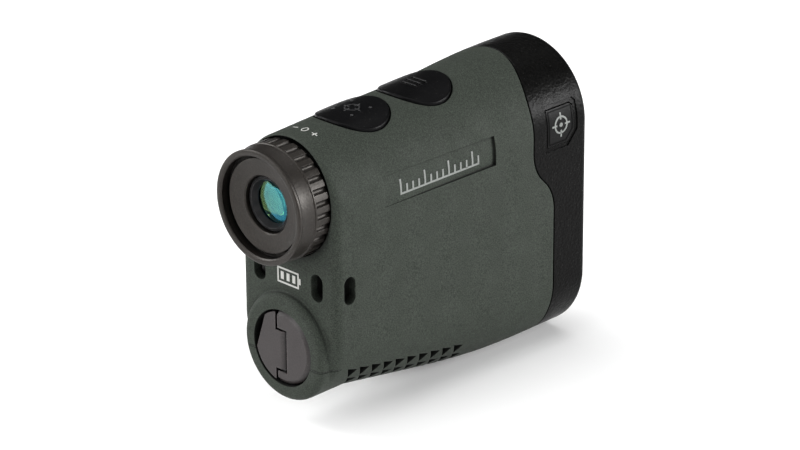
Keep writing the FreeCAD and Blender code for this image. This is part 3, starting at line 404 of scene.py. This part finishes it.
def printed(name, base, specular=0.4):
    """Thin ink or foil: slightly uneven, worn through in specks."""
    look = Look(name, base, 0.5, specular=specular)
    worn = look.range(look.noise(0.25, 3), 0.62, 0.72, 0, 0.55)
    look.colour(look.mix(worn, base, tint(base, 0.35)))
    look.roughness(look.range(look.noise(0.5, 3), 0.3, 0.7, 0.42, 0.62))
    look.grain(look.noise(0.2, 2), 0.5, 0.02)
    return look


def slot_looks():
    """One look for each of the record's material slots."""
    return {
        "armour": armour_look(),
        "black_plastic": moulded("bezel_plastic", (0.0030, 0.0030, 0.0029), 0.34, pebble=0.7, depth=0.09,
                                 edge=0.2, edge_wear_and_highlight=0.5, speckle=0.8, specular=0.045),
        # Painted shade: gaps darken to near black, and the very dark base colour partly paints the slots
        # into shade.
        "inner_plastic": moulded("inner_nylon", (0.008, 0.008, 0.008), 0.60, pebble=0.5, depth=0.02,
                                 edge_wear_and_highlight=0.1, shade_reach=6.0, specular=0.2),
        # The lightening of the lip edge is partly painted highlight.
        "black_rubber": moulded("eyepiece_rubber", (0.0074, 0.0060, 0.0049), 0.46, pebble=0.6,
                                depth=0.035, edge=0.18, edge_wear_and_highlight=0.9, speckle=0.8, shade_reach=3.5, specular=0.36,
                                specular_tint=(1.0, 0.94, 0.88, 1)),
        # The lightening of the chamfer is partly painted highlight.
        "cap_plastic": moulded("cap_plastic", (0.0235, 0.0190, 0.0190), 0.42, pebble=0.6, depth=0.012,
                               edge=0.3, edge_wear_and_highlight=1.0, shade_reach=2.6, specular=0.35),
        "button_rubber": moulded("button_rubber", (0.0018, 0.0018, 0.0021), 0.36, pebble=0.5, depth=0.015,
                                 edge=0.2, edge_wear_and_highlight=0.5, specular=0.08),
        "badge_metal": moulded("badge_plate", (0.0040, 0.0040, 0.0040), 0.40, pebble=0.6, depth=0.02,
                               edge=0.1, edge_wear_and_highlight=0.7, specular=0.08),
        "black_metal": anodised("anodised_black"),
        "coated_glass": glass("coated_glass", (0.50, 0.92, 0.78), COATING_THICK),
        "clear_glass": glass("clear_glass", (0.93, 0.97, 0.96), 0),
        "steel": brushed("stainless_steel", (0.56, 0.56, 0.57), 0.3),
        "nickel": brushed("nickel_plate", (0.66, 0.62, 0.54), 0.26),
        "brass": brushed("brass", (0.72, 0.50, 0.20), 0.28),
        "battery_wrap": wrap_look(),
        "board": board_look(),
        "chip": moulded("chip_epoxy", (0.012, 0.012, 0.013), 0.5, pebble=0.2, depth=0.01, edge=0.05),
        "seal_rubber": moulded("seal_rubber", (0.015, 0.015, 0.016), 0.55, pebble=0.3, depth=0.01,
                               edge=0.05),
        "film": film_look(),
    }


def dress_nodes(looks):
    for node in nodes.values():
        for index, material in enumerate(node.data.materials):
            node.data.materials[index] = looks[material.name.split(".")[0]].material


# ---------------------------------------------------------------- marks laid on the surface

class Marks:
    """Flat strokes drawn in two coordinates, in mm, and then laid on a CAD surface."""

    def __init__(self):
        self.corners, self.faces = [], []

    def strip(self, left, right):
        """Quads between two rows of points."""
        start = len(self.corners)
        self.corners += left + right
        count = len(left)
        self.faces += [(start + i, start + i + 1, start + count + i + 1, start + count + i)
                       for i in range(count - 1)]

    def bar(self, start, end, wide, cells=6):
        """Straight stroke of one width."""
        start, end = Vector(start), Vector(end)
        side = (end - start).normalized()
        side = Vector((-side.y, side.x)) * wide / 2
        line = [start.lerp(end, i / cells) for i in range(cells + 1)]
        middle = [tuple(p) for p in line]
        self.strip([tuple(p - side) for p in line], middle)
        self.strip(middle, [tuple(p + side) for p in line])

    def arc(self, centre, radius, wide, start=0, end=360, high=None, cells=40):
        """Stroke along a circle, or along an ellipse with the half height high."""
        high = high or radius
        rows = []
        angles = [math.radians(start + (end - start) * i / cells) for i in range(cells + 1)]
        for offset in (-wide / 2, 0, wide / 2):
            rows.append([(centre[0] + (radius + offset) * math.cos(a),
                          centre[1] + (high + offset) * math.sin(a)) for a in angles])
        self.strip(rows[0], rows[1])
        self.strip(rows[1], rows[2])

    def lay(self, name, node, place, look, lift, thick, body="root"):
        """Drop every point on the node's surface. place(u, v) gives a point and a direction, in mm."""
        target = nodes[node]
        points = []
        for u, v in self.corners:
            origin, direction = place(u, v)
            direction = Vector(direction).normalized()
            hit, spot = target.ray_cast(Vector(origin) * MM, direction)[:2]
            if not hit:
                raise RuntimeError("a mark misses its surface: " + name)
            points.append(spot - direction * lift * MM)
        mesh = bpy.data.meshes.new(name)
        mesh.from_pydata(points, [], self.faces)
        mesh.validate()
        piece = bpy.data.objects.new(name, mesh)
        bpy.context.scene.collection.objects.link(piece)
        weld = piece.modifiers.new("weld", "WELD")
        weld.merge_threshold = 0.001 * MM
        body_shape = piece.modifiers.new("thickness", "SOLIDIFY")
        body_shape.thickness = thick * MM
        body_shape.offset = 0
        mesh.materials.append(look.material)
        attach(piece, body)
        return piece


ABOVE, BESIDE, BEHIND = 90, 30, -60     # mm, places outside the object where a stroke's drop starts


def from_above(u, v):
    return (u, v, ABOVE), (0, 0, -1)


def from_side(side):
    return lambda u, v: ((side * BESIDE, u, v), (-side, 0, 0))


def from_behind(u, v):
    return (u, BEHIND, v), (0, 1, 0)


def add_dial_marks(ink):
    """Minus, zero and plus on the roof, over the diopter ring."""
    marks = Marks()
    row, step, reach, line = -30.5, 3.1, 0.8, 0.26
    marks.bar((-step - reach, row), (-step + reach, row), line)
    marks.arc((0, row), 0.68, line, high=0.9)
    marks.bar((step - reach, row), (step + reach, row), line)
    marks.bar((step, row - reach), (step, row + reach), line)
    marks.lay("dial_marks", "armour", from_above, ink, 0.02, 0.06)


def add_plate_scale(foil):
    """Raised scale of ticks in each name plate recess."""
    for name, side in (("plate_scale_right", 1), ("plate_scale_left", -1)):
        marks = Marks()
        first, step, count, base, tick = -16.0, 1.95, 14, 55.7, 0.5
        for index in range(count):
            u = first + step * index
            tall = 3.5 if index % 4 == 0 else 2.0
            marks.bar((u, base), (u, base + tall), tick)
        last = first + step * (count - 1)
        marks.bar((first - tick / 2, base), (last + tick / 2, base), 0.45, cells=24)
        marks.lay(name, "armour", from_side(side), foil, 0.05, 0.12)


def add_badge_marks(silver, black):
    """Black line of painted shade along the plate's edge, and a plain silver reticle on each badge."""
    for side_name, side in (("right", 1), ("left", -1)):
        low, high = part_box("badge_" + side_name)
        rear, front = low.y / MM, high.y / MM
        foot, top = low.z / MM, high.z / MM
        # This black line along the plate's edge is painted shade that stands for the dark gap round the
        # plate.
        shade_line = Marks()
        inset, cut = 0.5, 2.2
        rim = [(rear + inset, foot + inset), (front - inset - cut, foot + inset),
               (front - inset, foot + inset + cut * 1.1), (front - inset, top - inset),
               (rear + inset, top - inset)]
        for start, end in zip(rim, rim[1:] + rim[:1]):
            shade_line.bar(start, end, 0.34, cells=10)
        plate = "badge_" + side_name
        shade_line.lay("badge_border_" + side_name, plate, from_side(side), black, 0.03, 0.08)
        marks = Marks()
        centre, line, inner, outer = ((rear + front) / 2, (foot + top) / 2 + 0.2), 0.42, 1.3, 3.0
        marks.arc(centre, 2.0, line)
        marks.arc(centre, 0.32, 0.4)
        for across, up in ((1, 0), (-1, 0), (0, 1), (0, -1)):
            marks.bar((centre[0] + across * inner, centre[1] + up * inner),
                      (centre[0] + across * outer, centre[1] + up * outer), line)
        name = "badge_device_" + side_name
        marks.lay(name, "badge_" + side_name, from_side(side), silver, 0.05, 0.12)


def add_button_marks(relief):
    """Raised reticle on the measure button, and raised bars on the menu button."""
    low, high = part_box("measure_button")
    middle = (low.y + high.y) / 2 / MM
    line, inner, outer, dot_step = 0.34, 0.9, 2.6, 3.0
    reticle = Marks()
    reticle.arc((0, middle), 1.7, line)
    for across, along in ((1, 0), (-1, 0), (0, 1), (0, -1)):
        reticle.bar((across * inner, middle + along * inner),
                    (across * outer, middle + along * outer), line)
        dot = ((across + along) * dot_step, middle + (along - across) * dot_step)
        reticle.arc(dot, 0.2, 0.3, cells=16)
    reticle.lay("measure_relief", "measure_button", from_above, relief, 0.03, 0.14, "measure")
    low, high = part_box("menu_button")
    middle = (low.y + high.y) / 2 / MM
    bars = Marks()
    for along in (-1.7, 0, 1.7):
        bars.bar((-2.1, middle + along), (2.1, middle + along), 0.36, cells=10)
    bars.lay("menu_relief", "menu_button", from_above, relief, 0.01, 0.08, "menu")


def add_rear_marks(ink):
    """Printed battery outline with three charge bars, between the lanyard slots."""
    marks = Marks()
    centre, half, tall, line, charge = 36.6, 3.3, 1.75, 0.42, 0.95
    for up in (-tall, tall):
        marks.bar((-half - line / 2, centre + up), (half + line / 2, centre + up), line)
    for across in (-half, half):
        marks.bar((across, centre - tall), (across, centre + tall), line)
    marks.bar((half + 0.55, centre - 0.75), (half + 0.55, centre + 0.75), 0.5)
    for across in (-1.9, 0.0, 1.9):
        marks.bar((across, centre - charge), (across, centre + charge), charge)
    marks.lay("rear_marks", "armour", from_behind, ink, 0.02, 0.06)


# ---------------------------------------------------------------- the scene

add_camera()
add_world(0.07)
soft_light("top", (-0.15, -0.15, 1.4), (2.0, 2.0), 19)
soft_light("right", (1.35, -0.25, 0.85), (1.0, 0.8), 8)
soft_light("rear", (-0.2, -1.45, 0.6), (1.0, 0.9), 15)
soft_light("left", (-1.3, -0.5, 0.85), (1.0, 0.8), 20)
soft_light("edge", (1.0, 0.95, 0.36), (0.55, 0.36), 21)
add_floor()
dress_nodes(slot_looks())
white_ink = printed("white_ink", (0.42, 0.42, 0.40))
silver_foil = printed("silver_foil", (0.18, 0.19, 0.18))
add_dial_marks(white_ink)
add_plate_scale(silver_foil)
# The black line is painted shade along each badge plate's edge.
add_badge_marks(silver_foil, printed("painted_edge_shade", (0.0015, 0.0015, 0.0015), specular=0.04))
add_rear_marks(white_ink)
# The raised button marks are a lighter grey than the buttons; the lighter colour is partly painted
# highlight on the relief.
add_button_marks(moulded("button_relief_and_highlight", (0.022, 0.022, 0.023), 0.30, pebble=0.4, depth=0.01,
                         edge=0.1, edge_wear_and_highlight=0.5))

bpy.context.scene.view_settings.view_transform = "Standard"
